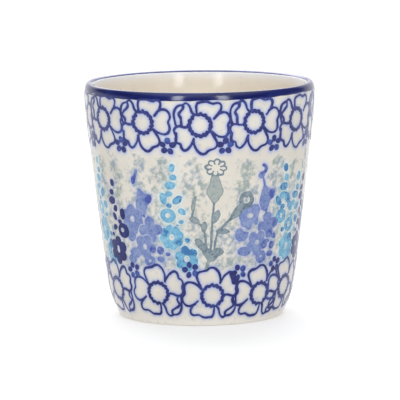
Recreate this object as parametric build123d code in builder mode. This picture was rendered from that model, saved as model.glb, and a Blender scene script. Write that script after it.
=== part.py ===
from build123d import *
import os

os.makedirs("parts", exist_ok=True)

# A handle-less stoneware mug: a tapered tumbler with a slightly swelling wall,
# drawn inward to a small bare foot ring. It stands on z = 0, centred on the Z axis.
# One slip-cast clay body carries fused coats: glaze outside, glaze inside, a glazed
# disc under the base, a cobalt lip, and three zones of underglaze colour.

# Driving dimensions, in millimetres.
height = 85.4
rim_radius = 42.0
lip_radius = 1.5        # the lip is a full round, 3 mm thick
glaze = 0.35            # thickness of every glaze coat
colour = 0.10           # thickness of the pigment that lies under the clear glaze
foot_radius = 29.4      # outside of the flat the mug stands on
foot_width = 3.9
recess_depth = 1.5
floor_top = 6.6         # height of the inside floor at the centre
glaze_foot_gap = 0.4    # the outside glaze stops this high above the table

# Heights between which each zone of underglaze colour runs round the wall.
lower_zone = (3.2, 21.6)
middle_zone = (22.4, 62.4)
upper_zone = (63.6, 81.8)
band_bottom = 82.4      # lower edge of the cobalt lip on the outside

lip_height = height - lip_radius
lip_middle = rim_radius - lip_radius
lip_inside = lip_middle - lip_radius

# The finished outside as (radius, height), from just over the foot up to the lip.
OUTSIDE = [(30.35, 0.4), (33.2, 8.0), (34.8, 17.0), (39.0, 51.0), (41.0, 68.0),
           (rim_radius, lip_height)]
# The finished inside as (radius, height), from the lip down to the bottom curve.
INSIDE = [(lip_inside, lip_height), (37.3, 68.0), (34.9, 51.0), (30.3, 18.0)]
BOTTOM_CURVE = (26.8, 9.6)      # a point half-way round the inside bottom curve
FLOOR_EDGE = (19.0, floor_top)  # where the curve runs out into the flat floor


def outside_line(depth):
    """Draw the outside of the wall, this far under the finished surface."""
    return Spline(*[(r - depth, z) for r, z in OUTSIDE], tangents=[(0.4, 1), (0, 1)])


def inside_line(depth):
    """Draw the inside of the wall and half of the floor, this far under the surface."""
    wall = Spline(*[(r + depth, z) for r, z in INSIDE], tangents=[(-0.12, -1), (-0.17, -1)])
    ThreePointArc(wall @ 1, (BOTTOM_CURVE[0] + 0.7 * depth, BOTTOM_CURVE[1] - 0.7 * depth),
                  (FLOOR_EDGE[0], FLOOR_EDGE[1] - depth))
    Line((FLOOR_EDGE[0], FLOOR_EDGE[1] - depth), (0, FLOOR_EDGE[1] - depth))
    return wall


def lip_line(depth):
    """Draw the rounded lip, from the outside over the top to the inside."""
    r = lip_radius - depth
    ThreePointArc((lip_middle + r, lip_height), (lip_middle, lip_height + r),
                  (lip_middle - r, lip_height))


def skin_strip(outer_depth, inner_depth):
    """Draw the closed outline of the outside skin between two depths."""
    near = outside_line(outer_depth)
    far = outside_line(inner_depth)
    Line(near @ 0, far @ 0)
    Line(near @ 1, far @ 1)


def keep_between(low, high):
    """Cut a sketch of the wall down to what lies between two heights."""
    with Locations((rim_radius - 10, (low + high) / 2)):
        Rectangle(30, high - low, mode=Mode.INTERSECT)


# The three zones of underglaze colour: each is a thin closed ring of pigment on the
# clay. It stands for the stamped flowers of that zone, which are printed close
# together round the whole wall.
with BuildPart() as lower_flower_border:
    with BuildSketch(Plane.XZ) as lower_zone_section:
        with BuildLine():
            skin_strip(glaze - colour, glaze)
        make_face()
        keep_between(*lower_zone)
    revolve(axis=Axis.Z)

with BuildPart() as garden_frieze:
    with BuildSketch(Plane.XZ) as middle_zone_section:
        with BuildLine():
            skin_strip(glaze - colour, glaze)
        make_face()
        keep_between(*middle_zone)
    revolve(axis=Axis.Z)

with BuildPart() as upper_flower_border:
    with BuildSketch(Plane.XZ) as upper_zone_section:
        with BuildLine():
            skin_strip(glaze - colour, glaze)
        make_face()
        keep_between(*upper_zone)
    revolve(axis=Axis.Z)

# The clear outside glaze. It fills the strip from over the foot up to the cobalt lip
# and lies over the pigment zones.
with BuildPart() as exterior_glaze:
    with BuildSketch(Plane.XZ):
        with BuildLine():
            skin_strip(0, glaze)
        make_face()
        keep_between(glaze_foot_gap, band_bottom)
        add(lower_zone_section.sketch, mode=Mode.SUBTRACT)
        add(middle_zone_section.sketch, mode=Mode.SUBTRACT)
        add(upper_zone_section.sketch, mode=Mode.SUBTRACT)
    revolve(axis=Axis.Z)

# The cobalt lip: a coloured coat that runs from a little way down the outside, over
# the rounded top, to the start of the inside wall.
with BuildPart() as cobalt_rim_band:
    with BuildSketch(Plane.XZ):
        with BuildLine():
            lip_line(0)
            lip_line(glaze)
            for side in (-1, 1):
                Line((lip_middle + side * lip_radius, lip_height),
                     (lip_middle + side * (lip_radius - glaze), lip_height))
        make_face()
        with BuildLine():
            skin_strip(0, glaze)
        make_face()
        keep_between(band_bottom, height)
    revolve(axis=Axis.Z)

# The inside glaze: one coat over the inside wall, the bottom curve and the floor.
with BuildPart() as interior_glaze:
    with BuildSketch(Plane.XZ):
        with BuildLine():
            near = inside_line(0)
            far = inside_line(glaze)
            Line(near @ 0, far @ 0)
            Line((0, floor_top), (0, floor_top - glaze))
        make_face()
    revolve(axis=Axis.Z)

# The glazed disc in the recess under the base.
recess_radius = foot_radius - foot_width
with BuildPart() as base_glaze:
    with BuildSketch(Plane.XY.offset(recess_depth)):
        Circle(recess_radius - 0.6)
    extrude(amount=glaze)

# The clay body: wall, floor and bare foot ring. Where a coat covers it the clay lies
# one glaze thickness under the finished surface; at the foot it comes out flush.
with BuildPart() as stoneware_body:
    with BuildSketch(Plane.XZ):
        with BuildLine():
            outer = outside_line(glaze)
            inner = inside_line(glaze)
            lip_line(glaze)
            Polyline((0, floor_top - glaze), (0, recess_depth + glaze),
                     (recess_radius - 0.6, recess_depth + glaze),
                     (recess_radius - 0.6, recess_depth), (recess_radius - 0.2, recess_depth),
                     (recess_radius + 0.5, 0))
            Line((recess_radius + 0.5, 0), (foot_radius, 0))
            foot_edge = (OUTSIDE[0][0], glaze_foot_gap)
            ThreePointArc((foot_radius, 0), (foot_radius + 0.6, 0.1), foot_edge)
            Line(foot_edge, outer @ 0)
        make_face()
    revolve(axis=Axis.Z)

stoneware_body.part.label = "stoneware_body"
exterior_glaze.part.label = "exterior_glaze"
interior_glaze.part.label = "interior_glaze"
cobalt_rim_band.part.label = "cobalt_rim_band"
base_glaze.part.label = "base_glaze"
upper_flower_border.part.label = "upper_flower_border"
garden_frieze.part.label = "garden_frieze"
lower_flower_border.part.label = "lower_flower_border"

export_step(stoneware_body.part, "parts/stoneware_body.step")
export_step(exterior_glaze.part, "parts/exterior_glaze.step")
export_step(interior_glaze.part, "parts/interior_glaze.step")
export_step(cobalt_rim_band.part, "parts/cobalt_rim_band.step")
export_step(base_glaze.part, "parts/base_glaze.step")
export_step(upper_flower_border.part, "parts/upper_flower_border.step")
export_step(garden_frieze.part, "parts/garden_frieze.step")
export_step(lower_flower_border.part, "parts/lower_flower_border.step")
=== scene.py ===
import math
import bpy
import numpy as np
from mathutils import Matrix, Vector
from mathutils.geometry import delaunay_2d_cdt


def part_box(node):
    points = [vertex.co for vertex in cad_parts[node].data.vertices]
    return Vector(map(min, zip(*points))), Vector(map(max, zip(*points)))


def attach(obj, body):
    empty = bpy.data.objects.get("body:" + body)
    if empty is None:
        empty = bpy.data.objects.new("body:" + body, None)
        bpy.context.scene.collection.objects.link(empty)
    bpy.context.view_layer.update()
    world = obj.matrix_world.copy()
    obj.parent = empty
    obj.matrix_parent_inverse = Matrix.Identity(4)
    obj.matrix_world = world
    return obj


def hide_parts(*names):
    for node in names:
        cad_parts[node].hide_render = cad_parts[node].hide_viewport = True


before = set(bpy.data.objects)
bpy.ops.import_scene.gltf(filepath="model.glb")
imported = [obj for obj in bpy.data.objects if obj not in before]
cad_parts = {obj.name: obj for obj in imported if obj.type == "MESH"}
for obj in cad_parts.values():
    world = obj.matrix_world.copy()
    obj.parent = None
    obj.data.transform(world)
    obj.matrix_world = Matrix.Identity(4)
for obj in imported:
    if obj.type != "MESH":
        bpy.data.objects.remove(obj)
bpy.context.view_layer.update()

# A handle-less stoneware mug with a cobalt lip, two stamped flower borders and a painted
# garden between them. Lengths in this script are millimetres, angles are degrees, until a
# mesh is made: only mesh_piece() and the stage use metres.
MM = 0.001

# ---- driving dimensions
lip_low, lip_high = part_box("cobalt_rim_band")
HEIGHT = lip_high.z / MM
RIM = lip_high.x / MM             # outside radius at the lip
LIP = 1.5                         # radius of the rounded lip
LIP_Z = HEIGHT - LIP
LIP_DROP = 3.3                    # the lip rolls over outside through this height
BAND_Z = lip_low.z / MM + 0.2     # lower edge of the cobalt band outside
INSIDE_BAND_Z = HEIGHT - 0.65     # lower edge of the cobalt inside the lip
GLAZE_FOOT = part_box("exterior_glaze")[0].z / MM
COAT = 0.35                       # thickness of a glaze coat
FOOT = 29.4                       # outside radius of the bare foot ring
FOOT_IN = 25.5                    # and its inside radius
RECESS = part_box("base_glaze")[0].z / MM  # height of the base inside the foot ring
SKIN = 0.02                       # hair of room between the clay and its coats
FLOOR = 6.6                       # height of the inside floor

# The wall as (radius, height), within half a millimetre of the CAD's wall.
OUTSIDE = [(30.35, 0.4), (33.2, 8.0), (34.8, 17.0), (39.0, 51.0), (41.0, 68.0),
           (RIM, HEIGHT - LIP_DROP)]
INSIDE = [(19.0, FLOOR), (26.8, 9.6), (30.3, 18.0), (34.9, 51.0), (37.1, 68.0),
          (37.95, 77.0), (RIM - 2 * LIP, LIP_Z)]

# The wall unrolled: u runs round it at this radius, z is the height.
SHEET_RADIUS = 38.0
TURN = 2 * math.pi * SHEET_RADIUS
GRID = 0.16                       # cell of the painting grid
REACH = 2.4                       # how far outside an edge the grid still knows it
BED = 0.05                        # how deep a pigment's underside lies in the glaze
SMALLEST = 0.04                   # islands of ink smaller than this area are dropped
INNER_STEP = 0.9                  # spacing of the points inside wide patches


# ---- curves
def smooth(points, closed=False, slopes=None, step=0.3):
    """Even points, about a step apart, on the smooth curve through a few points."""
    p = np.array(points, float)
    if closed:
        p = np.vstack([p, p[:1]])
    n = len(p) - 1
    h = np.hypot(*np.diff(p, axis=0).T)
    system, right = np.zeros((n + 1, n + 1)), np.zeros((n + 1, 2))
    for i in range(1, n):
        system[i, i - 1:i + 2] = h[i], 2 * (h[i - 1] + h[i]), h[i - 1]
        right[i] = 3 * (h[i] * (p[i] - p[i - 1]) / h[i - 1] + h[i - 1] * (p[i + 1] - p[i]) / h[i])
    if closed:
        system[0, [0, 1, n - 1]] = 2 * (h[-1] + h[0]), h[-1], h[0]
        right[0] = 3 * (h[0] * (p[0] - p[-2]) / h[-1] + h[-1] * (p[1] - p[0]) / h[0])
        system[n, [0, n]] = 1, -1
    elif slopes:
        system[0, 0] = system[n, n] = 1
        right[0], right[n] = [np.array(s) / np.hypot(*s) for s in slopes]
    else:
        system[0, :2] = 2, 1
        system[n, n - 1:] = 1, 2
        right[0], right[n] = 3 * (p[1] - p[0]) / h[0], 3 * (p[n] - p[n - 1]) / h[-1]
    m = np.linalg.solve(system, right)
    out = []
    for i in range(n):
        t = np.linspace(0, 1, max(2, math.ceil(h[i] / step) + 1))[:-1, None]
        out.append(p[i] * (1 + 2 * t) * (1 - t) ** 2 + p[i + 1] * t * t * (3 - 2 * t)
                   + h[i] * (m[i] * t * (1 - t) ** 2 + m[i + 1] * t * t * (t - 1)))
    return np.vstack(out + [p[-1:]])


def turned(points, angle=0.0, at=(0.0, 0.0), wide=1.0):
    """Points turned by an angle, stretched sideways and moved."""
    a = math.radians(angle)
    x, y = np.array(points, float).T
    return np.column_stack([at[0] + wide * (x * math.cos(a) - y * math.sin(a)),
                            at[1] + x * math.sin(a) + y * math.cos(a)])


WALL = smooth(OUTSIDE, slopes=[(0.4, 1), (0, 1)])
WALL_SLOPE = np.gradient(WALL[:, 0], WALL[:, 1])


def wall_radius(z):
    """Outside radius at a height, with the lip rolling over at the top."""
    over = np.clip((np.asarray(z) - HEIGHT + LIP_DROP) / LIP_DROP, 0, 1)
    return np.interp(z, WALL[:, 1], WALL[:, 0]) - LIP * (1 - np.sqrt(1 - over ** 2))


def on_wall(u, z, lift=0.0):
    """Places and outward normals on the outside of the mug, in mm."""
    r = wall_radius(z) + lift
    slope = np.interp(z, WALL[:, 1], WALL_SLOPE)
    a = np.asarray(u) / SHEET_RADIUS
    out = np.column_stack([np.sin(a), -np.cos(a), -slope])
    place = np.column_stack([r * np.sin(a), -r * np.cos(a), z])
    return place, out / np.linalg.norm(out, axis=1)[:, None]


def soft_noise(shape, cells, seed):
    """Smooth random field from -1 to 1 that joins up with itself sideways."""
    rng = np.random.default_rng(seed)
    rows, cols = cells
    knots = rng.uniform(-1, 1, (rows + 1, cols))
    y = np.linspace(0, rows, shape[0], endpoint=False)
    x = np.linspace(0, cols, shape[1], endpoint=False)
    yi, xi = y.astype(int), x.astype(int)
    fy, fx = (y - yi)[:, None], (x - xi)[None]
    fy, fx = fy * fy * (3 - 2 * fy), fx * fx * (3 - 2 * fx)
    right = (xi + 1) % cols
    low = knots[yi][:, xi] * (1 - fx) + knots[yi][:, right] * fx
    high = knots[yi + 1][:, xi] * (1 - fx) + knots[yi + 1][:, right] * fx
    return low * (1 - fy) + high * fy


# ---- painting on the sheet
class Ink:
    """One pigment on the unrolled wall: mm inside its edge, negative outside, and its tone."""

    def __init__(self, low, high):
        self.columns = round(TURN / GRID)
        self.du = TURN / self.columns
        self.z = np.arange(low, high + GRID / 2, GRID)
        self.depth = np.full((len(self.z), self.columns), -REACH)
        self.tone = np.full(self.depth.shape, 0.5)
        self.middle = 0.0                 # where the motif that is being drawn stands

    def put(self, shape, points, spread, tone=0.5, cut=False, over=False):
        """Add a shape, cut it away, or lay its tone over, in the window round its points."""
        points = np.atleast_2d(points)
        low, high = points.min(0) - spread - REACH, points.max(0) + spread + REACH
        cols = np.arange(math.floor(low[0] / self.du), math.ceil(high[0] / self.du) + 1)
        rows = np.flatnonzero((self.z >= low[1]) & (self.z <= high[1]))
        if not len(rows):
            return
        u, z = np.meshgrid(cols * self.du, self.z[rows])
        fresh = shape(u, z)
        at = np.ix_(rows, cols % self.columns)
        if cut:
            self.depth[at] = np.minimum(self.depth[at], -fresh)
            return
        self.tone[at] = np.where(fresh > (0 if over else self.depth[at]), tone, self.tone[at])
        self.depth[at] = np.maximum(self.depth[at], fresh)

    def line(self, points, width, tone=0.5, closed=False, widths=None):
        """A brush or stamp line through a few points."""
        path = smooth(np.array(points) + (self.middle, 0), closed)
        half = np.full(len(path), width / 2) if widths is None else widths(len(path)) / 2
        self.put(lambda u, z: line_depth(u, z, path, half), path, width / 2, tone)

    def patch(self, points, tone=0.5, cut=False, at=(0, 0)):
        """A filled outline through a few points about a place."""
        path = smooth(np.array(points) + at + (self.middle, 0), closed=True)
        self.put(lambda u, z: patch_depth(u, z, path), path, 0, tone, cut)

    def oval(self, u, z, wide, high, tilt=0.0, tone=0.5, cut=False, over=False):
        """A filled oval of these half-sizes."""
        u += self.middle
        a = math.radians(tilt)

        def shape(us, zs):
            x = (us - u) * math.cos(a) + (zs - z) * math.sin(a)
            y = (zs - z) * math.cos(a) - (us - u) * math.sin(a)
            return (1 - np.hypot(x / wide, y / high)) * min(wide, high)
        self.put(shape, [(u, z)], max(wide, high), tone, cut, over)

    def roughen(self, amount, size, seed):
        """Make the edges waver a little, as hand printing does."""
        cells = (round(len(self.z) * GRID / size), round(TURN / size))
        self.depth += amount * soft_noise(self.depth.shape, cells, seed)

    def cell(self, u, z):
        """Rows and columns of the grid at these places."""
        row = np.clip(np.round((z - self.z[0]) / GRID).astype(int), 0, len(self.z) - 1)
        return row, np.round(u / self.du).astype(int) % self.columns

    def near(self, u, z, fade):
        """How strongly the pigment bleeds into the glaze at these places, 0 to 1."""
        outside = np.maximum(0, -self.depth[self.cell(u, z)])
        outside += np.maximum(0, np.maximum(self.z[0] - z, z - self.z[-1]))
        return np.where(outside < REACH * 0.95, np.exp(-outside / fade), 0.0)


def line_depth(u, z, path, half):
    """How deep each place lies inside a line of these half-widths."""
    best = np.full(u.shape, -REACH)
    for a, b, wa, wb in zip(path[:-1], path[1:], half[:-1], half[1:]):
        d = b - a
        t = np.clip(((u - a[0]) * d[0] + (z - a[1]) * d[1]) / max(d @ d, 1e-9), 0, 1)
        away = np.hypot(u - a[0] - t * d[0], z - a[1] - t * d[1])
        np.maximum(best, wa + t * (wb - wa) - away, out=best)
    return best


def patch_depth(u, z, path):
    """How deep each place lies inside a closed outline."""
    away = -line_depth(u, z, path, np.zeros(len(path)))
    inside = np.zeros(u.shape, bool)
    for a, b in zip(path[:-1], path[1:]):
        if a[1] != b[1]:
            crosses = (a[1] > z) != (b[1] > z)
            inside ^= crosses & (u < a[0] + (z - a[1]) * (b[0] - a[0]) / (b[1] - a[1]))
    return np.where(inside, away, -away)


# ---- the stamped borders
# The big flower stamp round its own centre: a beaded ring and five outlined petals. The
# last petal is folded over, so it has a second line inside.
RING = 3.85
PETALS = [
    [(-1.2, 3.6), (-1.5, 5.8), (-1.1, 7.8), (0.4, 8.3), (2.1, 8.5), (3.6, 7.9), (4.6, 7.8),
     (5.7, 8.1), (7.0, 7.6), (7.3, 6.4), (6.5, 4.5), (4.9, 2.5)],
    [(4.3, -2.3), (5.7, -3.4), (7.5, -4.1), (9.3, -3.9), (10.2, -2.8), (10.2, -0.9),
     (10.0, 0.4), (10.6, 1.6), (10.4, 3.2), (9.5, 4.4), (8.0, 4.8), (5.9, 3.8)],
    [(4.2, -2.5), (5.7, -5.0), (6.3, -6.8), (5.6, -8.2), (4.3, -8.7), (3.1, -9.3), (1.8, -10.3),
     (0.4, -10.2), (-1.0, -9.0), (-1.9, -7.2), (-2.2, -4.9)],
    [(-2.2, -4.9), (-2.9, -6.9), (-3.9, -8.4), (-5.3, -9.3), (-6.5, -8.5), (-7.1, -7.1),
     (-8.1, -6.7), (-8.8, -5.4), (-8.7, -4.0), (-9.2, -2.8), (-8.9, -1.3), (-7.6, -0.6),
     (-6.0, -0.9), (-4.6, -0.9)],
    [(-8.5, -0.9), (-9.1, 1.3), (-9.4, 3.8), (-8.9, 5.6), (-7.7, 6.7), (-6.3, 7.1),
     (-5.3, 7.7), (-4.3, 7.2), (-3.5, 5.8), (-2.9, 4.4), (-2.0, 3.6)],
    [(-6.3, 7.0), (-6.2, 5.9), (-7.0, 4.7), (-7.6, 3.6), (-7.0, 2.4), (-6.8, 1.0), (-6.5, -0.7)],
]
FOLD_LOOP = [(-6.2, 7.0), (-5.9, 5.8), (-6.8, 4.6), (-8.2, 3.4), (-8.6, 2.6), (-8.1, 1.8),
             (-7.5, 0.8), (-7.8, -0.6)]


def stamp_flower(ink, u, z, angle, rng, looped=False):
    """Print the big flower stamp; the wall's taper squeezes it to the sheet's scale."""
    wide = SHEET_RADIUS / wall_radius(z)
    start = rng.uniform(0, 6)
    ring = []
    for a in np.linspace(math.radians(131), math.radians(464), 130):
        # The ring is ruffled: it steps in and out like a row of small teeth.
        tooth = math.sin(15 * a + start + 0.7 * math.sin(3 * a)) + 0.35 * math.sin(31 * a + start)
        reach = RING + 0.24 * tooth
        ring.append((reach * math.cos(a), reach * math.sin(a)))
    ink.line(turned(ring, angle, (u, z), wide), 1.0, rng.uniform(0.5, 0.85),
             widths=lambda n: 1.12 + 0.14 * np.sin(np.linspace(0, 95, n) + start))
    petals = PETALS[:-1] + [FOLD_LOOP] if looped else PETALS
    for petal in petals:
        width, phase = rng.uniform(0.79, 0.96), rng.uniform(0, 6)
        ink.line(turned(petal, angle, (u, z), wide), width, rng.uniform(0.35, 0.8),
                 widths=lambda n, w=width, p=phase: w + 0.14 * np.sin(np.linspace(p, p + 11, n)))


def stamp_small(ink, u, z, angle, rng):
    """Print the small flower stamp: five round dabs that just touch about a pale centre."""
    wide = SHEET_RADIUS / wall_radius(z)
    for k in range(5):
        a = math.radians(angle + 72 * k)
        reach = 1.95 * rng.uniform(0.93, 1.06)
        ink.oval(u + wide * reach * math.cos(a), z + reach * math.sin(a),
                 rng.uniform(1.08, 1.28), rng.uniform(0.96, 1.12), angle + 72 * k,
                 rng.uniform(0.15, 0.8))


def spread_round(seen, count):
    """Places all round the wall: the ones seen in front, then even spacing behind."""
    gap = (TURN - (seen[-1] - seen[0])) / (count - len(seen) + 1)
    return list(seen) + [seen[-1] + gap * (k + 1) for k in range(count - len(seen))]


def upper_border():
    """Thirteen upright flowers under the lip, with small flowers hung between them."""
    ink, rng = Ink(61.5, BAND_Z + 0.5), np.random.default_rng(3)
    lifts = [0.45, 0.3, -0.45, 0.15, -0.45] + [0.0] * 8
    for k, u in enumerate(spread_round([-37.4, -19.4, 0.1, 18.4, 37.4], 13)):
        z = 74.3 + lifts[k] + rng.uniform(-0.3, 0.3)
        stamp_flower(ink, u, z, rng.uniform(-2, 2), rng, k % 3 == 1)
        stamp_small(ink, u + 8.4, 66.0 + rng.uniform(-0.3, 0.3), 18 + rng.uniform(-5, 5), rng)
        # A short hook of ink beside the small flower.
        ink.line([(u - 7.9, 71.0), (u - 8.0, 69.0), (u - 8.3, 67.0)], 0.9, 0.6)
    ink.roughen(0.08, 0.9, 11)
    return ink


def lower_border():
    """Eleven flowers upside down above the foot, with small flowers on their top edge."""
    ink, rng = Ink(2.2, 26.0), np.random.default_rng(5)
    lifts = [-0.3, 0.15, -0.45, -0.7, 0.6] + [0.0] * 6
    for u, lift in zip(spread_round([-41.7, -17.9, 4.4, 25.3, 40.8], 11), lifts):
        z = 11.8 + lift + rng.uniform(-0.3, 0.3)
        stamp_flower(ink, u, z, 173 + rng.uniform(-3, 3), rng, True)
    for k, (u, z) in enumerate(zip(spread_round([-28.8, -4.0, 15.1, 32.2], 11),
                                   [19.9, 21.2, 19.8, 21.4] * 3)):
        stamp_small(ink, u, z, 36 + rng.uniform(-8, 8), rng)
        if k % 4 == 2:
            # Where two prints met, the ink ran together into a blot.
            ink.patch([(-3.9, -0.2), (-2.6, -0.1), (-1.0, -1.4), (-0.4, -3.2), (-1.2, -4.4),
                       (-2.6, -4.2), (-3.2, -2.4)], 0.9, at=(u, z))
    ink.roughen(0.08, 0.9, 12)
    return ink


# ---- the garden frieze
# Every motif is drawn about its own middle, at its real height on the wall.
OUTLINE = 0.35                            # width of the bare outline round a blossom


def blossom(ink, x, z, reach, petals, angle=0.0, hole=0.9, tone=0.5, dark=()):
    """A painted flower: fat petals that run together round an open eye, with a bare outline."""
    for grow in (OUTLINE, 0.0):
        for k in range(petals):
            a = math.radians(angle + 360 * k / petals)
            ink.oval(x + 0.58 * reach * math.cos(a), z + 0.58 * reach * math.sin(a),
                     0.46 * reach + grow, 0.36 * reach + 1.1 / petals + grow,
                     angle + 360 * k / petals, tone, cut=grow > 0)
    ink.oval(x, z, 0.5 * reach, 0.5 * reach, 0, tone)
    for k in dark:
        a = math.radians(angle + 360 * k / petals)
        ink.oval(x + 0.74 * reach * math.cos(a), z + 0.74 * reach * math.sin(a),
                 0.33 * reach, 0.36 * reach, angle + 360 * k / petals, tone + 0.4, over=True)
    if hole:
        ink.oval(x, z, hole, hole * 1.15, 0, cut=True)


def turquoise_spike(ink):
    """Dots climbing to a point over a ring and two open flowers."""
    for x, z, wide, high, tilt in [
            (0.4, 58.5, 1.05, 1.4, 0), (0.8, 55.0, 1.25, 1.1, 0), (-0.4, 52.0, 1.9, 1.45, 5),
            (-1.0, 48.9, 1.2, 1.0, 0), (-3.2, 47.3, 1.2, 2.1, 5), (2.0, 46.8, 2.0, 1.3, 40),
            (-1.1, 44.6, 1.0, 0.8, 0), (3.5, 42.6, 1.5, 1.1, -30), (3.1, 38.8, 1.0, 0.75, 15),
            (1.6, 37.2, 0.7, 0.5, 0), (5.2, 32.0, 0.9, 0.9, 0)]:
        ink.oval(x, z, wide, high, tilt, 0.35 + 0.4 * math.sin(7 * x) ** 2)
    ink.oval(-1.7, 41.0, 2.9, 2.6, 0, 0.35)
    ink.oval(-1.7, 41.1, 1.0, 0.95, 0, cut=True)
    blossom(ink, -0.7, 33.1, 4.4, 8, 12, 1.05, 0.35, dark=(3, 7))
    blossom(ink, 4.8, 25.3, 4.5, 6, 40, 1.1, 0.55, dark=(0, 1))


def turquoise_pair(ink):
    """Two spikes side by side, the right one shorter."""
    for x, z, wide, high, tilt in [
            (-2.2, 56.6, 1.1, 1.4, 20), (-1.3, 52.9, 1.1, 1.1, 0), (-2.3, 49.7, 1.9, 1.3, 0),
            (-2.6, 46.6, 1.6, 1.1, 0), (-4.7, 44.6, 2.1, 1.1, -50), (0.4, 45.3, 1.3, 2.0, 30),
            (-2.2, 42.3, 1.2, 0.9, 0), (2.4, 42.2, 2.0, 1.2, -50), (7.4, 52.4, 1.3, 1.5, 0),
            (7.3, 48.4, 1.3, 1.0, 0), (5.9, 45.8, 2.1, 1.2, -5), (5.0, 42.9, 1.3, 0.9, 0),
            (8.3, 41.3, 1.8, 1.1, 15), (4.4, 38.6, 1.0, 0.9, 0), (8.4, 36.6, 1.5, 1.2, -20),
            (-1.0, 33.7, 1.0, 0.8, 20), (8.0, 32.8, 0.9, 0.8, 0)]:
        ink.oval(x, z, 1.12 * wide, 1.15 * high, tilt, 0.4 + 0.4 * math.sin(5 * x) ** 2)
    for x, z, hole in [(-2.6, 38.9, 0.85), (3.0, 35.2, 0.95)]:
        ink.oval(x, z, 2.9, 2.6, 0, 0.55)
        ink.oval(x, z + 0.1, hole, hole * 1.1, 0, cut=True)
    blossom(ink, 2.7, 27.3, 5.0, 7, 5, 1.1, 0.4, dark=(1, 6))


def bell(ink, x, z):
    """A drooping bell-shaped bud with one dark lobe, on a short stalk."""
    ink.patch([(-1.1, 4.4), (-0.2, 3.9), (1.2, 2.7), (3.0, 2.3), (3.9, 1.2), (3.5, -0.4),
               (2.3, -1.4), (1.3, -3.4), (0.1, -5.6), (-1.1, -5.2), (-2.6, -2.9), (-2.9, -0.8),
               (-2.1, 1.6)], 0.4, at=(x, z))
    ink.oval(x + 2.6, z + 0.7, 1.3, 1.9, -20, 0.95, over=True)
    ink.line([(x - 0.1, z - 5.0), (x + 0.9, z - 6.6), (x + 1.0, z - 8.4)], 0.75, 0.8)


def periwinkle_right(ink):
    """Buds over a loose bunch of open flowers, leaning to the right."""
    ink.line([(0.6, 58.5), (1.6, 57.3), (1.2, 56.2), (0.4, 55.6)], 1.3, 0.75)
    ink.oval(-0.1, 54.9, 1.25, 1.35, 0, 0.5)
    ink.line([(0.6, 53.9), (1.1, 52.6), (1.5, 51.0)], 0.9, 0.4)
    bell(ink, 2.5, 46.9)
    eye = (-4.0, 40.4)
    ink.patch([(1.5, 4.1), (3.2, 3.7), (4.1, 2.2), (3.6, 0.0), (3.6, -1.7), (2.5, -3.7),
               (1.1, -2.8), (0.7, -4.4), (-0.4, -5.3), (-1.8, -4.3), (-3.2, -3.7), (-3.7, -1.7),
               (-4.2, -0.6), (-3.3, 1.5), (-1.8, 2.6), (-0.2, 3.0)], 0.35, at=eye)
    ink.oval(*eye, 1.35, 1.1, 0, cut=True)
    blossom(ink, 4.3, 36.4, 4.7, 4, 12, 0, 0.45, dark=(0, 3))
    ink.line([(3.1, 39.2), (3.0, 41.0), (3.2, 42.2)], 0.8, 0.9)
    ink.patch([(-9.1, 35.2), (-7.6, 36.1), (-6.3, 34.9), (-4.3, 34.2), (-4.6, 32.6), (-6.0, 31.4),
               (-7.6, 31.1), (-9.2, 32.4)], 0.45)
    blossom(ink, -0.3, 30.1, 4.6, 5, 58, 0.95, 0.4, dark=(4,))
    ink.oval(-5.6, 27.3, 2.6, 1.7, -5, 0.55)
    ink.oval(1.9, 24.8, 2.4, 2.3, 0, 0.55)
    ink.oval(1.8, 25.0, 0.55, 0.5, 0, cut=True)
    for x, z, wide, high in [(7.5, 32.0, 1.2, 1.1), (6.8, 28.7, 1.3, 1.4), (6.1, 25.6, 1.7, 1.1),
                             (4.5, 30.4, 0.9, 0.7)]:
        ink.oval(x, z, wide, high, 0, 0.75)


def periwinkle_left(ink):
    """A wide spread of flowers under one bell-shaped bud."""
    ink.oval(-1.6, 53.3, 1.05, 1.5, -15, 0.75)
    ink.line([(-0.2, 56.6), (-0.6, 55.3), (-0.9, 53.6)], 1.0, 0.6)
    bell(ink, 1.6, 45.9)
    blossom(ink, -3.6, 38.8, 5.2, 6, 95, 1.1, 0.35)
    ink.oval(-4.9, 33.4, 2.2, 2.9, 15, 0.35)
    blossom(ink, 4.1, 35.4, 4.7, 4, 5, 0, 0.4, dark=(0,))
    blossom(ink, 1.3, 29.0, 4.5, 5, 65, 0.95, 0.35, dark=(4,))
    ink.oval(-3.4, 26.5, 2.8, 1.9, 15, 0.35)
    for x, z, wide, high, tone in [(7.8, 28.0, 1.35, 1.5, 0.8), (7.9, 24.7, 1.5, 1.1, 0.7),
                                   (10.8, 26.7, 0.9, 0.7, 0.8), (3.0, 23.9, 2.3, 2.0, 0.6),
                                   (-5.4, 24.0, 1.9, 1.6, 0.6)]:
        ink.oval(x, z, wide, high, 0, tone)
    ink.oval(3.1, 24.0, 0.8, 0.7, 0, cut=True)


def navy_spike(ink):
    """Dark dots in two files over a ring and one big flower."""
    for x, z, wide, high, tilt in [
            (0.3, 51.3, 1.15, 1.3, 0), (-0.7, 47.8, 1.25, 1.1, 0), (-0.9, 44.8, 2.0, 1.4, 5),
            (0.8, 41.8, 1.1, 1.3, -25), (-0.2, 39.0, 1.0, 1.5, 25), (4.6, 40.2, 1.35, 2.2, 0),
            (2.5, 37.2, 1.1, 0.8, 0), (-0.6, 34.9, 1.4, 1.0, 30), (-2.5, 32.1, 0.8, 0.75, 0)]:
        ink.oval(x, z, wide, high, tilt, 0.5)
    ink.oval(4.2, 34.0, 3.0, 2.8, 0, 0.6)
    ink.oval(3.6, 34.2, 0.95, 0.85, 0, cut=True)
    blossom(ink, -0.2, 26.4, 5.0, 6, 25, 0, 0.55)
    ink.oval(-0.3, 26.7, 0.95, 1.35, 10, cut=True)


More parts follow.
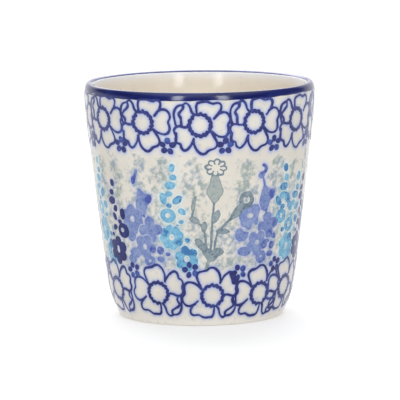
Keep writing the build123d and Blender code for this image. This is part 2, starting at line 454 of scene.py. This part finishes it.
def grey_poppy(ink):
    """A poppy head with its crown, on a stem with side shoots, buds and leaves."""
    # Eight round lobes, outlined, with a short crease running in between each two.
    crown = []
    for a in np.linspace(0, 2 * math.pi, 96, endpoint=False):
        reach = 0.80 + 0.32 * abs(math.cos(4 * a + 0.5)) ** 0.7
        crown.append((1.4 + 3.25 * reach * math.cos(a), 58.5 + 2.75 * reach * math.sin(a)))
    ink.line(crown, 0.72, 0.45, closed=True)
    for k in range(8):
        a = (math.pi / 2 - 0.5 + math.pi * k) / 4
        ink.line([(1.4 + 1.7 * math.cos(a), 58.5 + 1.4 * math.sin(a)),
                  (1.4 + 2.7 * math.cos(a), 58.5 + 2.3 * math.sin(a))], 0.55, 0.4)
    ink.patch([(-0.2, 55.3), (1.0, 55.6), (2.4, 55.3), (2.9, 53.7), (3.9, 51.3), (4.0, 49.6),
               (3.1, 47.9), (1.5, 45.9), (0.6, 45.7), (-0.6, 47.1), (-1.7, 48.6), (-1.8, 50.4),
               (-0.9, 52.9)], 0.15)
    ink.line([(-0.2, 53.0), (-0.6, 51.2), (-0.4, 49.4)], 0.5, 0.2)
    ink.line([(0.9, 46.8), (0.5, 42.0), (0.1, 37.0), (-0.1, 32.0), (-0.4, 27.0)], 0.85, 0.6)
    ink.line([(0.5, 38.7), (1.4, 40.2), (2.3, 42.6)], 1.6, 0.55,
             widths=lambda n: 0.7 + 1.9 * np.sin(np.linspace(0.2, 2.9, n)))
    ink.line([(-5.7, 47.9), (-6.5, 45.2), (-6.7, 42.6)], 1.1, 0.35,
             widths=lambda n: 0.5 + 0.9 * np.sin(np.linspace(0.2, 2.6, n)))
    ink.line([(-6.7, 42.6), (-6.9, 40.4), (-5.6, 39.0), (-3.9, 37.6), (-2.7, 35.2),
              (-2.2, 31.5), (-1.4, 28.0)], 0.9, 0.5)
    ink.oval(-6.2, 39.5, 2.1, 1.15, -25, 0.55)
    ink.oval(-2.7, 37.0, 1.1, 2.1, -8, 0.6)
    ink.line([(0.8, 27.0), (1.3, 31.0), (2.3, 34.6), (4.5, 37.4), (7.4, 40.2)], 0.9, 0.55)
    ink.oval(4.1, 35.2, 2.6, 1.05, -4, 0.7)
    ink.patch([(6.4, 38.9), (7.3, 41.6), (8.9, 44.0), (11.0, 45.2), (12.0, 44.0), (11.0, 41.6),
               (9.4, 40.0), (7.6, 39.4)], 0.75)
    ink.oval(12.8, 46.3, 2.9, 3.1, 0, 0.7)
    ink.patch([(12.1, 47.6), (12.7, 47.2), (13.6, 47.6), (14.1, 46.6), (13.3, 45.0), (12.0, 45.0)],
              cut=True)
    # Where the brush went over it twice, the bud's stalk is nearly black.
    ink.oval(11.6, 42.3, 2.8, 0.8, 52, 0.9, over=True)
    ink.oval(13.6, 43.8, 1.6, 0.7, 10, 0.9, over=True)
    ink.oval(-4.0, 30.4, 2.9, 1.5, -45, 0.65)
    ink.patch([(-3.6, 27.6), (-1.8, 29.4), (0.2, 28.4), (2.2, 29.4), (4.6, 27.6), (2.6, 25.9),
               (0.8, 24.3), (-1.4, 24.4), (-2.6, 26.2)], 0.7)
    ink.line([(-1.0, 25.0), (-1.5, 22.9), (-1.9, 21.0)], 1.1, 0.4)


# The pigment of each motif and the places where it stands. The first places are the ones
# seen in front, the rest carry the same rhythm round the back.
GARDEN = [
    ("turquoise", turquoise_spike, [-46.3, -10.2, 74.0, 124.0, 159.0]),
    ("turquoise", turquoise_pair, [36.0]),
    ("periwinkle", periwinkle_right, [22.5, 105.0]),
    ("periwinkle", periwinkle_left, [-23.4, 60.0, 145.0]),
    ("navy", navy_spike, [-36.5, 48.5, 133.0, 177.0]),
    ("grey", grey_poppy, [4.0, 88.5, 169.0]),
]


def frieze():
    """The four frieze pigments, each with its own motifs."""
    inks = {name: Ink(18.0, 63.5) for name in ("turquoise", "periwinkle", "navy", "grey")}
    for name, motif, places in GARDEN:
        for u in places:
            inks[name].middle = u
            motif(inks[name])
    for seed, ink in enumerate(inks.values()):
        ink.roughen(0.14, 1.1, 21 + seed)
    return inks


# ---- meshes
def mesh_piece(name, verts, faces, material, smooth_faces=True, normals=None, uv=None):
    """A mesh object from mm, riding on the mug's one body."""
    mesh = bpy.data.meshes.new(name)
    mesh.from_pydata((np.asarray(verts) * MM).tolist(), [], faces)
    mesh.materials.append(material)
    mesh.polygons.foreach_set("use_smooth", np.full(len(mesh.polygons), smooth_faces))
    if uv is not None:
        corner = np.zeros(len(mesh.loops), int)
        mesh.loops.foreach_get("vertex_index", corner)
        layer = mesh.uv_layers.new(name="OFBake")
        layer.data.foreach_set("uv", np.asarray(uv, np.float32)[corner].ravel())
    mesh.update()
    if normals is not None:
        mesh.normals_split_custom_set(normals)
    piece = bpy.data.objects.new(name, mesh)
    bpy.context.scene.collection.objects.link(piece)
    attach(piece, "root")
    return piece


def add_number(piece, name, values):
    """A number for every vertex, which the material reads by name."""
    piece.data.attributes.new(name, "FLOAT", "POINT").data.foreach_set(
        "value", np.asarray(values, np.float32))


def lathe(name, section, around, material, wave=None):
    """Turn a closed section of (radius, height) about Z; points on the axis are shared."""
    section = np.asarray(section, float)
    turn = 2 * math.pi * np.arange(around) / around
    verts, ring_of = [], []
    for r, z in section:
        if r < 1e-6:
            ring_of.append([len(verts)] * around)
            verts.append((0, 0, z))
            continue
        ring_of.append(list(range(len(verts), len(verts) + around)))
        height = np.full(around, z) if wave is None else z + wave(turn, r, z)
        verts += list(zip(r * np.sin(turn), -r * np.cos(turn), height))
    faces = []
    for i, low in enumerate(ring_of):
        high = ring_of[(i + 1) % len(ring_of)]
        for k in range(around):
            n = (k + 1) % around
            loop = [low[k], low[n], high[n], high[k]]
            loop = [v for j, v in enumerate(loop) if v != loop[j - 1]]
            if len(loop) > 2:
                faces.append(loop)
    return mesh_piece(name, verts, faces, material)


def contours(depth, u, z):
    """Closed outlines of the ink by marching squares, with the ink on their left."""
    above, level, point, follow = (depth > 0).tolist(), depth.tolist(), {}, {}

    def crossing(a, b):
        a, b = sorted((a, b))
        if (a, b) not in point:
            va, vb = level[a[0]][a[1]], level[b[0]][b[1]]
            t = va / (va - vb)
            point[a, b] = (u[a[1]] + t * (u[b[1]] - u[a[1]]), z[a[0]] + t * (z[b[0]] - z[a[0]]))
        return a, b

    inside = depth > 0
    count = (inside[:-1, :-1] * 1 + inside[:-1, 1:] + inside[1:, 1:] + inside[1:, :-1])
    for i, j in np.argwhere((count > 0) & (count < 4)).tolist():
        corner = [(i, j), (i, j + 1), (i + 1, j + 1), (i + 1, j)]
        wet = [above[r][c] for r, c in corner]
        leave, enter = [], []
        for k in range(4):
            n = (k + 1) % 4
            if wet[k] and not wet[n]:
                leave.append(crossing(corner[k], corner[n]))
            elif wet[n] and not wet[k]:
                enter.append(crossing(corner[k], corner[n]))
        joined = sum(level[r][c] for r, c in corner) > 0
        if len(leave) == 2 and wet[0] != joined:
            enter.reverse()
        follow.update(zip(leave, enter))
    loops = []
    while follow:
        start, key = follow.popitem()
        loop = [start]
        while key != start:
            loop.append(key)
            key = follow.pop(key)
        loops.append(np.array([point[k] for k in loop]))
    return loops


def thinned(loop, tolerance=0.012):
    """Drop the points of a closed outline that lie on the line between their neighbours."""
    far = int(np.argmax(np.hypot(*(loop - loop[0]).T)))
    loop = np.vstack([loop, loop[:1]])
    keep, spans = {0, far}, [(0, far), (far, len(loop) - 1)]
    while spans:
        a, b = spans.pop()
        if b - a < 2:
            continue
        d = loop[b] - loop[a]
        rel = loop[a + 1:b] - loop[a]
        away = np.abs(rel[:, 0] * d[1] - rel[:, 1] * d[0]) / max(np.hypot(*d), 1e-9)
        k = int(np.argmax(away))
        if away[k] > tolerance:
            keep.add(a + 1 + k)
            spans += [(a, a + 1 + k), (a + 1 + k, b)]
    return loop[sorted(keep)]


def covered(ink):
    """Points and triangles on the unrolled wall that cover the ink."""
    half = ink.columns // 2
    depth = np.roll(ink.depth, half, axis=1)
    u = (np.arange(ink.columns + 1) - half) * ink.du
    # A hair of bare wall round the sheet closes the outlines at the seam behind the mug.
    hair = 0.001
    edge = np.pad(np.hstack([depth, depth[:, :1]]), 1, constant_values=-hair)
    u_edge = np.concatenate([[u[0] - hair], u, [u[-1] + hair]]).tolist()
    z_edge = np.concatenate([[ink.z[0] - hair], ink.z, [ink.z[-1] + hair]]).tolist()

    points, rings, sign = [], [], []
    for loop in contours(edge, u_edge, z_edge):
        x, y = loop.T
        area = 0.5 * float(np.sum(x * np.roll(y, -1) - y * np.roll(x, -1)))
        loop = thinned(loop) if abs(area) > SMALLEST else []
        if len(loop) < 3:
            continue
        ring = list(range(len(points), len(points) + len(loop)))
        rings.append(ring if area > 0 else ring[::-1])
        sign.append(1 if area > 0 else -1)
        points += loop.tolist()
    # Inner points, so that wide patches follow the round wall.
    for row, z in enumerate(np.arange(ink.z[0], ink.z[-1], INNER_STEP * 0.87)):
        for x in np.arange(u[0] + 0.5 * INNER_STEP * (row % 2), u[-1], INNER_STEP):
            if depth[int((z - ink.z[0]) / GRID), int((x - u[0]) / ink.du)] > 0.35:
                points.append([x, z])

    flat, _, triangles, _, _, sources = delaunay_2d_cdt(
        [Vector(p) for p in points], [], rings, 1, 1e-6)
    top = [t for t, owners in zip(triangles, sources) if sum(sign[k] for k in owners) > 0]
    used = sorted({v for t in top for v in t})
    renumber = {v: k for k, v in enumerate(used)}
    return np.array([flat[v][:] for v in used]), [[renumber[v] for v in t] for t in top]


def ink_piece(name, ink, material, lift):
    """A thin closed layer of pigment on the wall, wherever the sheet has ink."""
    flat, top = covered(ink)
    n = len(flat)
    upper, out = on_wall(*flat.T, lift)
    under, _ = on_wall(*flat.T, -BED)
    directed = {(t[k - 1], t[k]) for t in top for k in range(3)}
    sides = [[a + n, b + n, b, a] for a, b in directed if (b, a) not in directed]
    bottom = [[v + n for v in reversed(t)] for t in top]
    normals = np.zeros((3 * len(top) + 4 * len(sides) + 3 * len(bottom), 3))
    normals[:3 * len(top)] = out[np.array(top).ravel()]
    uv = np.column_stack([flat[:, 0] / TURN + 0.5,
                          (flat[:, 1] - ink.z[0]) / (ink.z[-1] - ink.z[0])])
    smooth_faces = np.arange(len(top) + len(sides) + len(bottom)) < len(top)
    piece = mesh_piece(name, np.vstack([upper, under]), top + sides + bottom, material,
                       smooth_faces, normals, np.vstack([uv, uv]))
    cell = ink.cell(*flat.T)
    add_number(piece, "tone", np.tile(ink.tone[cell], 2))
    add_number(piece, "inside", np.tile(np.clip(ink.depth[cell], 0, 1), 2))
    return piece


# ---- materials
def srgb(r, g, b):
    """Linear colour from the 0 to 255 numbers of a colour picker."""
    return tuple((c / 255 / 12.92) if c <= 10 else ((c / 255 + 0.055) / 1.055) ** 2.4
                 for c in (r, g, b))


class Surface:
    """A principled material and short ways to build what feeds it."""

    def __init__(self, name, roughness=0.12, **plain):
        self.material = bpy.data.materials.new(name)
        self.material.use_nodes = True
        self.tree = self.material.node_tree
        self.tree.nodes.clear()
        self.shader = self.add("ShaderNodeBsdfPrincipled")
        out = self.add("ShaderNodeOutputMaterial")
        self.link(self.shader.outputs["BSDF"], out.inputs["Surface"])
        self.shader.inputs["Roughness"].default_value = roughness
        self.shader.inputs["Specular IOR Level"].default_value = 0.3
        for socket, value in plain.items():
            self.shader.inputs[socket.replace("_", " ")].default_value = value
        self.place = self.add("ShaderNodeTexCoord").outputs["Object"]

    def add(self, kind, **settings):
        node = self.tree.nodes.new(kind)
        for key, value in settings.items():
            setattr(node, key, value)
        return node

    def link(self, source, target):
        self.tree.links.new(source, target)

    def feed(self, socket, value):
        """Link a node's output to a socket, or set a plain value on it."""
        if isinstance(value, bpy.types.NodeSocket):
            self.link(value, socket)
        else:
            socket.default_value = value

    def noise(self, size, detail=2.0, roughness=0.5, stretch=(1, 1, 1)):
        """Noise whose blotches are about this many mm across."""
        where = self.add("ShaderNodeMapping")
        where.inputs["Scale"].default_value = stretch
        self.link(self.place, where.inputs["Vector"])
        node = self.add("ShaderNodeTexNoise")
        self.link(where.outputs["Vector"], node.inputs["Vector"])
        node.inputs["Scale"].default_value = 0.5 / (size * MM)
        node.inputs["Detail"].default_value = detail
        node.inputs["Roughness"].default_value = roughness
        return node.outputs[0]

    def number(self, name):
        """A number stored on the mesh's vertices."""
        return self.add("ShaderNodeAttribute", attribute_name=name).outputs["Fac"]

    def ranged(self, value, low, high, to_low=0.0, to_high=1.0):
        """Carry the range low to high smoothly over to another range."""
        node = self.add("ShaderNodeMapRange", interpolation_type="SMOOTHSTEP")
        self.feed(node.inputs["Value"], value)
        for socket, number in zip(("From Min", "From Max", "To Min", "To Max"),
                                  (low, high, to_low, to_high)):
            node.inputs[socket].default_value = number
        return node.outputs["Result"]

    def maths(self, operation, a, b):
        node = self.add("ShaderNodeMath", operation=operation)
        self.feed(node.inputs[0], a)
        self.feed(node.inputs[1], b)
        return node.outputs[0]

    def mix(self, factor, a, b):
        """From colour a to colour b as the factor goes from 0 to 1; see srgb() for colours."""
        node = self.add("ShaderNodeMix", data_type="RGBA")
        self.feed(node.inputs["Factor"], factor)
        for socket, value in ((node.inputs[6], a), (node.inputs[7], b)):
            self.feed(socket, (*srgb(*value), 1) if isinstance(value, tuple) else value)
        return node.outputs[2]

    def blotched(self, a, b, size, detail=2.0, low=0.35, high=0.65):
        """One colour blotched with another."""
        return self.mix(self.ranged(self.noise(size, detail), low, high), a, b)

    def specked(self, colour, speck, low, high, strength, size=0.5, detail=0):
        """A colour with fine specks; the higher low and high are, the fewer there are."""
        return self.mix(self.ranged(self.noise(size, detail), low, high, 0, strength),
                        colour, speck)

    def colour(self, value):
        self.feed(self.shader.inputs["Base Color"], value)

    def bump(self, height, distance):
        """A relief this many mm deep, too fine for the mesh."""
        node = self.add("ShaderNodeBump")
        node.inputs["Distance"].default_value = distance * MM
        self.link(height, node.inputs["Height"])
        self.link(node.outputs["Normal"], self.shader.inputs["Normal"])

    def glaze_skin(self, smooth_at=0.09, rough_at=0.16):
        """What every glaze shares: a gloss that varies, and a faint ripple and grain."""
        self.feed(self.shader.inputs["Roughness"],
                  self.ranged(self.noise(6), 0.3, 0.7, smooth_at, rough_at))
        grain = self.maths("MULTIPLY", self.noise(0.7), 0.12)
        self.bump(self.maths("ADD", self.noise(5, 1), grain), 0.02)


def outside_glaze():
    """Cream glaze, sponged with grey-green foliage, stained faintly by the pigments."""
    m = Surface("outside_glaze_cream", Specular_IOR_Level=0.18)
    cream = m.blotched((203, 198, 188), (209, 205, 196), 9, 3)
    cream = m.specked(cream, (206, 197, 180), 0.5, 0.75, 0.3, 2.2, 2)
    # Painted light: the cream is lightened just over the foot, to brighten the shade there.
    cream = m.mix(m.number("painted_foot_light"), cream, (224, 219, 210))
    # Leaves show where the sponge's grain and its print together are strong enough.
    grain = m.maths("ADD", m.noise(0.8, 3, 0.6), m.maths("MULTIPLY", m.noise(2.5), 0.25))
    print_at = m.maths("ADD", grain, m.maths("MULTIPLY", m.number("leaf"), 0.38))
    green = m.blotched((144, 156, 153), (140, 153, 166), 4, 2, 0.4, 0.6)
    colour = m.mix(m.ranged(print_at, 0.70, 1.04), cream, green)
    colour = m.mix(m.number("stain_blue"), colour, (140, 156, 206))
    colour = m.mix(m.number("stain_cyan"), colour, (176, 212, 226))
    m.colour(m.specked(colour, (160, 140, 116), 0.78, 0.84, 0.12))
    m.glaze_skin()
    return m.material


def inside_glaze():
    """The same glaze over warm clay, with no painting; painted light whitens it where it nears the
    lip.
    """
    m = Surface("inside_glaze_beige", Specular_IOR_Level=0.27)
    warm = m.blotched((216, 207, 192), (221, 213, 200), 12, 3)
    # Painted light: a cool white just under the lip stands in for the light that reaches the top
    # of the inside.
    warm = m.mix(m.number("painted_lip_light"), warm, (226, 227, 231))
    m.colour(m.specked(warm, (170, 150, 126), 0.76, 0.82, 0.25))
    m.glaze_skin()
    return m.material


def base_glaze():
    """The glaze under the base: duller, with more specks."""
    m = Surface("base_glaze_cream")
    cream = m.blotched((222, 213, 198), (229, 222, 210), 7, 3)
    m.colour(m.specked(cream, (160, 138, 112), 0.7, 0.78, 0.5, 0.6, 1))
    m.glaze_skin(0.14, 0.25)
    return m.material


def cobalt_lip():
    """Deep cobalt, streaked where the brush ran round the lip."""
    m = Surface("cobalt_lip_glaze", Specular_IOR_Level=0.5)
    streak = m.noise(3.0, 3, 0.55, stretch=(0.35, 0.35, 2.5))
    colour = m.mix(m.ranged(streak, 0.35, 0.65), (6, 16, 76), (14, 26, 92))
    colour = m.specked(colour, (56, 66, 130), 0.6, 0.8, 0.3, 1.2, 2)
    m.colour(m.mix(m.number("thin"), colour, (48, 56, 116)))
    m.glaze_skin()
    return m.material


def pigment(name, pale, middle, dark, pool, shine=0.18):
    """Underglaze colour: brush-load tone, pools of dark at the edges, and mottling."""
    m = Surface(name, Specular_IOR_Level=shine)
    mottle = m.maths("ADD", m.ranged(m.noise(1.6, 3, 0.6), 0.3, 0.7, -0.2, 0.2),
                     m.ranged(m.noise(0.5, 1), 0.3, 0.7, -0.18, 0.18))
    load = m.maths("ADD", m.number("tone"), mottle)
    colour = m.mix(m.ranged(load, 0.1, 0.5), pale, middle)
    colour = m.mix(m.ranged(load, 0.5, 1.0), colour, dark)
    m.colour(m.mix(m.ranged(m.number("inside"), 0.02, 0.45, pool, 0.0), colour, dark))
    m.glaze_skin()
    return m.material


def bare_clay():
    """Matte fired stoneware: warm grey-buff with iron specks and an open grain."""
    m = Surface("bare_stoneware")
    body = m.mix(m.ranged(m.noise(4, 4, 0.6), 0.3, 0.7), (204, 188, 164), (184, 166, 140))
    m.colour(m.specked(body, (122, 98, 74), 0.66, 0.74, 1, 0.45, 1))
    m.feed(m.shader.inputs["Roughness"], m.ranged(m.noise(1.0), 0.3, 0.7, 0.7, 0.9))
    m.bump(m.noise(0.35, 4, 0.65), 0.05)
    return m.material


# ---- the mug's coats and body
AROUND = 500                              # points round the outside, for the fine painting
AROUND_PLAIN = 240                        # points round the pieces with no painting


def inside_path(depth):
    """The inside from the floor's centre up to the lip, this far under the surface."""
    path = smooth(INSIDE, slopes=[(1, 0), (0.34, 1)], step=0.6)
    slope = np.gradient(path, axis=0)
    out = np.column_stack([slope[:, 1], -slope[:, 0]]) / np.hypot(*slope.T)[:, None]
    return np.vstack([[0, FLOOR - depth], [9.0, FLOOR - depth], path + depth * out])


def lip_arc(depth, start, end, count):
    """Part of the lip, drawn long on the outside; 0 is the outside, 180 the inside."""
    a = np.radians(np.linspace(start, end, count))
    drop = np.where(np.cos(a) > 0, LIP_DROP, LIP)
    return np.column_stack([RIM - LIP + (LIP - depth) * np.cos(a),
                            HEIGHT - drop + (drop - depth) * np.sin(a)])


LIP_INNER = 180 - math.degrees(math.asin((INSIDE_BAND_Z - LIP_Z) / LIP))


def outside_coat(inks):
    """The cream coat from over the foot to the lip, with its foliage and stains."""
    # Two rows more draw the coat's edge in over the foot; its top goes in under the band.
    z = np.concatenate([[0.12, 0.25], np.linspace(GLAZE_FOOT, BAND_Z + 0.7, 181)])
    outer = np.column_stack([wall_radius(z), z])
    outer[:2, 0] = [OUTSIDE[0][0] - 0.25, OUTSIDE[0][0] - 0.08]
    inner = np.column_stack([wall_radius(z[::-12]) - COAT, z[::-12]])
    section = np.vstack([outer, inner])
    piece = lathe("outside_glaze_coat", section, AROUND, outside_glaze())
    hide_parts("exterior_glaze")
    u = np.tile(np.arange(AROUND) * TURN / AROUND, len(section))
    heights = np.repeat(section[:, 1], AROUND)
    add_number(piece, "leaf", foliage(u, heights))
    # Painted light: how strongly the cream is lightened just over the foot, brightening its shade.
    add_number(piece, "painted_foot_light", np.clip((8 - heights) / 7, 0, 1))
    blues = (("upper", 1), ("lower", 1), ("periwinkle", 0.7), ("navy", 0.45))
    add_number(piece, "stain_blue", np.max([share * inks[name].near(u, heights, 0.5)
                                            for name, share in blues], axis=0))
    add_number(piece, "stain_cyan", 0.5 * inks["turquoise"].near(u, heights, 0.6))


def foliage(u, z):
    """How thickly the sponge has printed leaves at these places, 0 to 1."""
    rng = np.random.default_rng(8)
    amount = np.zeros(len(u))

    def dab(x, y, reach, weight):
        du = (u - x + TURN / 2) % TURN - TURN / 2
        np.maximum(amount, weight * np.exp(-((du / reach) ** 2 + ((z - y) / reach) ** 2)),
                   out=amount)

    for tree in spread_round([-42.0, -33.5, -23.2, -13.8, -2.5, 16.5, 29.0, 38.5], 23):
        top = rng.uniform(58.0, 62.5)
        for height in np.arange(22.0, top, 1.2):
            # Branches on both sides, wider and denser towards the ground.
            share = (height - 22.0) / (top - 22.0)
            half = 1.2 + 5.4 * (1 - share) ** 0.6
            for side in (-1, 1):
                x = tree + side * half * rng.uniform(0.1, 1.0)
                dab(x, height + rng.uniform(-0.9, 0.9), rng.uniform(1.2, 2.4),
                    rng.uniform(0.4, 1.0))
            dab(tree + rng.uniform(-0.6, 0.6), height, 1.6, rng.uniform(0.6, 1.0))
    # Under the trees the ground is printed thinly all the way round.
    return np.maximum(amount, 0.55 * np.clip((47 - z) / 10, 0, 1) * (z > 21))


def inside_coat():
    """One coat over the floor and the inside wall."""
    outer, inner = [np.vstack([inside_path(d), lip_arc(d, 180, LIP_INNER, 4)[1:]])
                    for d in (0.0, COAT)]
    piece = lathe("inside_glaze_coat", np.vstack([inner, outer[::-1]]), AROUND_PLAIN,
                  inside_glaze())
    # Painted light: how strongly the inside is whitened just under the lip.
    depth = np.array([max(0.0, LIP_Z - v.co.z / MM) for v in piece.data.vertices])
    add_number(piece, "painted_lip_light", 0.85 * np.exp(-depth / 1.2))
    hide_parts("interior_glaze")


def lip_coat():
    """The cobalt band: down the outside, over the lip and a hair down the inside."""
    start = math.degrees(math.asin((BAND_Z - HEIGHT + LIP_DROP) / LIP_DROP))
    outer = lip_arc(0.0, start, LIP_INNER, 40)
    outer[:, 0] += 0.03                   # the band stands a hair proud of the cream coat
    section = np.vstack([outer, lip_arc(COAT, LIP_INNER, start, 14)])

    def wave(turn, r, height):
        """The lower edge wavers, and climbs a little towards the right."""
        fade = max(0.0, 1 - (height - BAND_Z) / 1.2) if r > RIM - LIP else 0.0
        return fade * (0.35 * np.sin(turn) + 0.10 * np.sin(7 * turn + 1) + 0.07 * np.sin(19 * turn)
                       + 0.05 * np.sin(41 * turn + 2))
    piece = lathe("cobalt_lip_coat", section, AROUND, cobalt_lip(), wave)
    # The glaze runs off the crest while it is fired, so the inner edge is paler.
    thin = np.clip((RIM - LIP - section[:, 0]) / 0.5, 0, 1) * (section[:, 1] > LIP_Z)
    add_number(piece, "thin", np.repeat(thin, AROUND))
    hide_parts("cobalt_rim_band")


def clay_body():
    """The clay under the coats; only its foot ring is bare."""
    z = np.linspace(BAND_Z, GLAZE_FOOT, 60)
    outer = np.column_stack([wall_radius(z) - COAT - SKIN, z])
    foot = np.array([(30.0, 0.2), (29.75, 0.05), (FOOT, 0.0), (FOOT_IN + 0.6, 0.0),
                     (FOOT_IN + 0.2, 0.15), (FOOT_IN - 0.1, 0.5), (FOOT_IN - 0.3, RECESS),
                     (FOOT_IN - 0.6, RECESS + 0.1), (FOOT_IN - 0.6, RECESS + COAT),
                     (0.0, RECESS + COAT)])
    inside = np.vstack([inside_path(COAT + SKIN), lip_arc(COAT + SKIN, 180, 0, 16)[1:]])
    piece = lathe("clay_body", np.vstack([outer, foot, inside])[::-1], AROUND_PLAIN, bare_clay())
    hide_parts("stoneware_body")


def base_coat():
    """The glazed disc inside the foot ring, drawn up a little where it meets the clay."""
    edge = FOOT_IN - 0.6
    section = [(0, 0), (8, 0), (16, 0), (21, 0), (23.5, -0.02), (edge - 0.6, -0.06),
               (edge - 0.15, -0.05), (edge, 0.05), (edge, COAT), (0, COAT)]
    section = [(r, RECESS + z) for r, z in section]
    piece = lathe("base_glaze_disc", section, 160, base_glaze())
    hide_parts("base_glaze")


def painted_layers(inks):
    """Every pigment as its own layer, the stamped borders over the painted frieze."""
    for name, lift, pool, *colours in (
            ("grey", 0.02, 0.6, (154, 161, 157), (132, 146, 150), (94, 110, 126)),
            ("turquoise", 0.03, 0.25, (134, 182, 202), (106, 160, 190), (60, 108, 158)),
            ("periwinkle", 0.04, 0.25, (130, 145, 182), (110, 126, 172), (66, 82, 150)),
            ("navy", 0.05, 0.25, (52, 60, 126), (36, 42, 104), (22, 26, 74))):
        paint = pigment(f"{name}_underglaze", *colours, pool)
        piece = ink_piece(f"frieze_{name}", inks[name], paint, lift)
        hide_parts("garden_frieze")
    cobalt = pigment("cobalt_underglaze", (58, 82, 150), (44, 49, 114), (28, 34, 90), 0.25, 0.3)
    for name, node in (("lower", "lower_flower_border"), ("upper", "upper_flower_border")):
        piece = ink_piece(f"{name}_border_flowers", inks[name], cobalt, 0.06)
        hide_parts(node)


inks = {"upper": upper_border(), "lower": lower_border(), **frieze()}
clay_body()
base_coat()
inside_coat()
outside_coat(inks)
lip_coat()
painted_layers(inks)


# ---- floor, lights, camera
# How bright each part of the surroundings is, where 1 is the white of the horizon, and
# where things stand, in metres.
ROOM_FRONT, ROOM, BACKDROP, CEILING, KEY = 0.10, 0.2, 1.15, 1.35, 4.9
STRIP_GLOW, STRIP_WIDE, STRIP_HIGH = 9.0, 0.21, 0.74
STRIP_DISTANCE, STRIP_UP = 1.25, 0.55     # from the mug's axis, and over the floor
FLOOR_GLOW, FLOOR_RADIUS = 0.52, 6.0
EYE = (-0.00017, -1.2, 0.2095)            # where the camera stands
LENS = 297.2                              # its focal length in mm
PITCH, ROLL = 7.97, -0.486                # how far it looks down and leans


def floor():
    """A big pale round floor, so wide that the camera never sees its edge."""
    m = Surface("studio_floor", roughness=0.9)
    m.colour(m.blotched((166, 166, 166), (168, 168, 168), 60, 2, 0.3, 0.7))
    m.shader.inputs["Specular IOR Level"].default_value = 0.1
    # Like a light table: part of its white is its own glow, which keeps shadows pale.
    m.shader.inputs["Emission Color"].default_value = (1, 1, 1, 1)
    m.shader.inputs["Emission Strength"].default_value = FLOOR_GLOW
    turn = np.linspace(0, 2 * math.pi, 96, endpoint=False)
    mesh = bpy.data.meshes.new("studio_floor")
    mesh.from_pydata([(FLOOR_RADIUS * math.sin(a), FLOOR_RADIUS * math.cos(a), -0.0002)
                      for a in turn], [], [list(range(96))[::-1]])
    mesh.materials.append(m.material)
    disc = bpy.data.objects.new("studio_floor", mesh)
    bpy.context.scene.collection.objects.link(disc)


def softbox(name, place, target, wide, high, glow):
    """A rectangular light; glow is how bright its face looks beside the white floor."""
    data = bpy.data.lights.new(name, "AREA")
    data.shape, data.size, data.size_y = "RECTANGLE", wide, high
    data.energy = glow * math.pi * wide * high
    light = bpy.data.objects.new(name, data)
    light.location = place
    light.rotation_euler = (Vector(target) - Vector(place)).to_track_quat("-Z", "Y").to_euler()
    light.visible_camera = False
    bpy.context.scene.collection.objects.link(light)


def studio():
    """A white room, dim in front where the camera stands, lit from above and by two strips."""
    world = bpy.data.worlds.new("studio_white")
    world.use_nodes = True
    nodes, links = world.node_tree.nodes, world.node_tree.links
    direction = nodes.new("ShaderNodeTexCoord").outputs["Generated"]

    def blend(axis, low, high, below, above):
        """Strength that changes with how far a direction leans along an axis."""
        lean = nodes.new("ShaderNodeVectorMath")
        lean.operation = "DOT_PRODUCT"
        lean.inputs[1].default_value = Vector(axis).normalized()
        links.new(direction, lean.inputs[0])
        ramp = nodes.new("ShaderNodeMapRange")
        ramp.interpolation_type = "SMOOTHSTEP"
        links.new(lean.outputs["Value"], ramp.inputs["Value"])
        for socket, value in (("From Min", low), ("From Max", high), ("To Max", above)):
            ramp.inputs[socket].default_value = value
        if isinstance(below, float):
            ramp.inputs["To Min"].default_value = below
        else:
            links.new(below, ramp.inputs["To Min"])
        return ramp.outputs["Result"]

    horizon = blend((0, 1, 0), -0.4, -0.08, ROOM_FRONT, 1.0)
    room = blend((0, 0, 1), 0.08, 0.2, horizon, ROOM)
    backdrop = blend((0, 0.97, 0.25), 0.6, 0.85, room, BACKDROP)
    ceiling = blend((0, -0.25, 0.97), 0.5, 0.9, backdrop, CEILING)
    # The key light is high behind the mug, a little to the left.
    key = blend((-0.10, 0.66, 0.74), 0.8, 0.97, ceiling, KEY)
    links.new(key, nodes["Background"].inputs["Strength"])
    nodes["Background"].inputs["Color"].default_value = (1, 1, 1, 1)
    bpy.context.scene.world = world
    for side, turn in (("left", -22.0), ("right", 23.5)):
        a = math.radians(turn)
        softbox(f"strip_{side}", (STRIP_DISTANCE * math.sin(a), -STRIP_DISTANCE * math.cos(a),
                                  STRIP_UP), (0, 0, 0.06), STRIP_WIDE, STRIP_HIGH, STRIP_GLOW)


def camera():
    """A long lens, looking slightly down on the mug."""
    data = bpy.data.cameras.new("camera")
    data.lens, data.sensor_width = LENS, 36.0
    data.clip_start, data.clip_end = 0.05, 20
    obj = bpy.data.objects.new("camera", data)
    obj.matrix_world = (Matrix.Translation(EYE)
                        @ Matrix.Rotation(math.pi / 2 - math.radians(PITCH), 4, "X")
                        @ Matrix.Rotation(math.radians(ROLL), 4, "Z"))
    bpy.context.scene.collection.objects.link(obj)
    bpy.context.scene.camera = obj


floor()
studio()
camera()
bpy.context.scene.view_settings.view_transform = "Standard"
